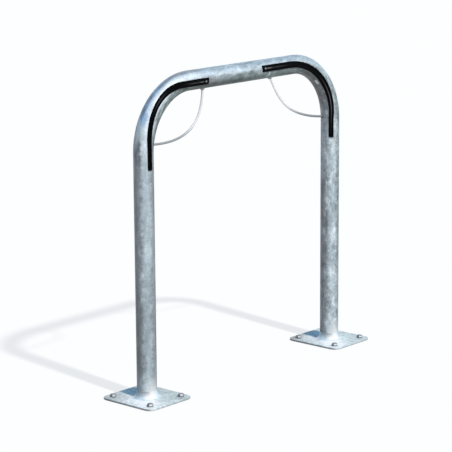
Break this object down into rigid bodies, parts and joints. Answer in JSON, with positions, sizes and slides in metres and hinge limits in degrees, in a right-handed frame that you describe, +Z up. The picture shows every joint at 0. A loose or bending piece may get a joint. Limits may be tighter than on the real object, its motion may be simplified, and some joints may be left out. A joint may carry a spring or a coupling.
{
  "type": "hoop bike stand",
  "caption": "Hoop bike stand: a bent galvanised tube welded to bolted base plates, with round locking bars across the upper corners and grooved rubber strips on the bends.",
  "frame": {"origin": "on the ground, midway between the two legs, under the middle of the hoop", "axes": "+X along the hoop from the left leg to the right leg, +Z up, and the side with the rubber strips faces -Y"},
  "size_m": [0.85, 0.165, 0.775],
  "materials": {
    "galvanised_steel": "hot-dip galvanised, mottled, cool grey, half matt",
    "weld_metal": "galvanised over the weld, slightly rough",
    "zinc_fastener": "zinc plated, half bright",
    "strip_rubber": "black, satin"
  },
  "bodies": {
    "root": {"hoop_tube": "galvanised_steel", "base_plate_left": "galvanised_steel", "base_plate_right": "galvanised_steel", "locking_bar_left": "galvanised_steel", "locking_bar_right": "galvanised_steel", "foot_weld_left": "weld_metal", "foot_weld_right": "weld_metal", "locking_weld_left_top": "weld_metal", "locking_weld_left_leg": "weld_metal", "locking_weld_right_top": "weld_metal", "locking_weld_right_leg": "weld_metal", "protector_strip_left": "strip_rubber", "protector_strip_right": "strip_rubber", "strip_screw_left": "zinc_fastener", "strip_screw_right": "zinc_fastener", "anchor_bolt_left_front_outer": "zinc_fastener", "anchor_bolt_left_front_inner": "zinc_fastener", "anchor_bolt_left_back_inner": "zinc_fastener", "anchor_bolt_left_back_outer": "zinc_fastener", "anchor_bolt_right_front_outer": "zinc_fastener", "anchor_bolt_right_front_inner": "zinc_fastener", "anchor_bolt_right_back_inner": "zinc_fastener", "anchor_bolt_right_back_outer": "zinc_fastener", "washer_left_front_outer": "zinc_fastener", "washer_left_front_inner": "zinc_fastener", "washer_left_back_inner": "zinc_fastener", "washer_left_back_outer": "zinc_fastener", "washer_right_front_outer": "zinc_fastener", "washer_right_front_inner": "zinc_fastener", "washer_right_back_inner": "zinc_fastener", "washer_right_back_outer": "zinc_fastener"}
  },
  "joints": []
}
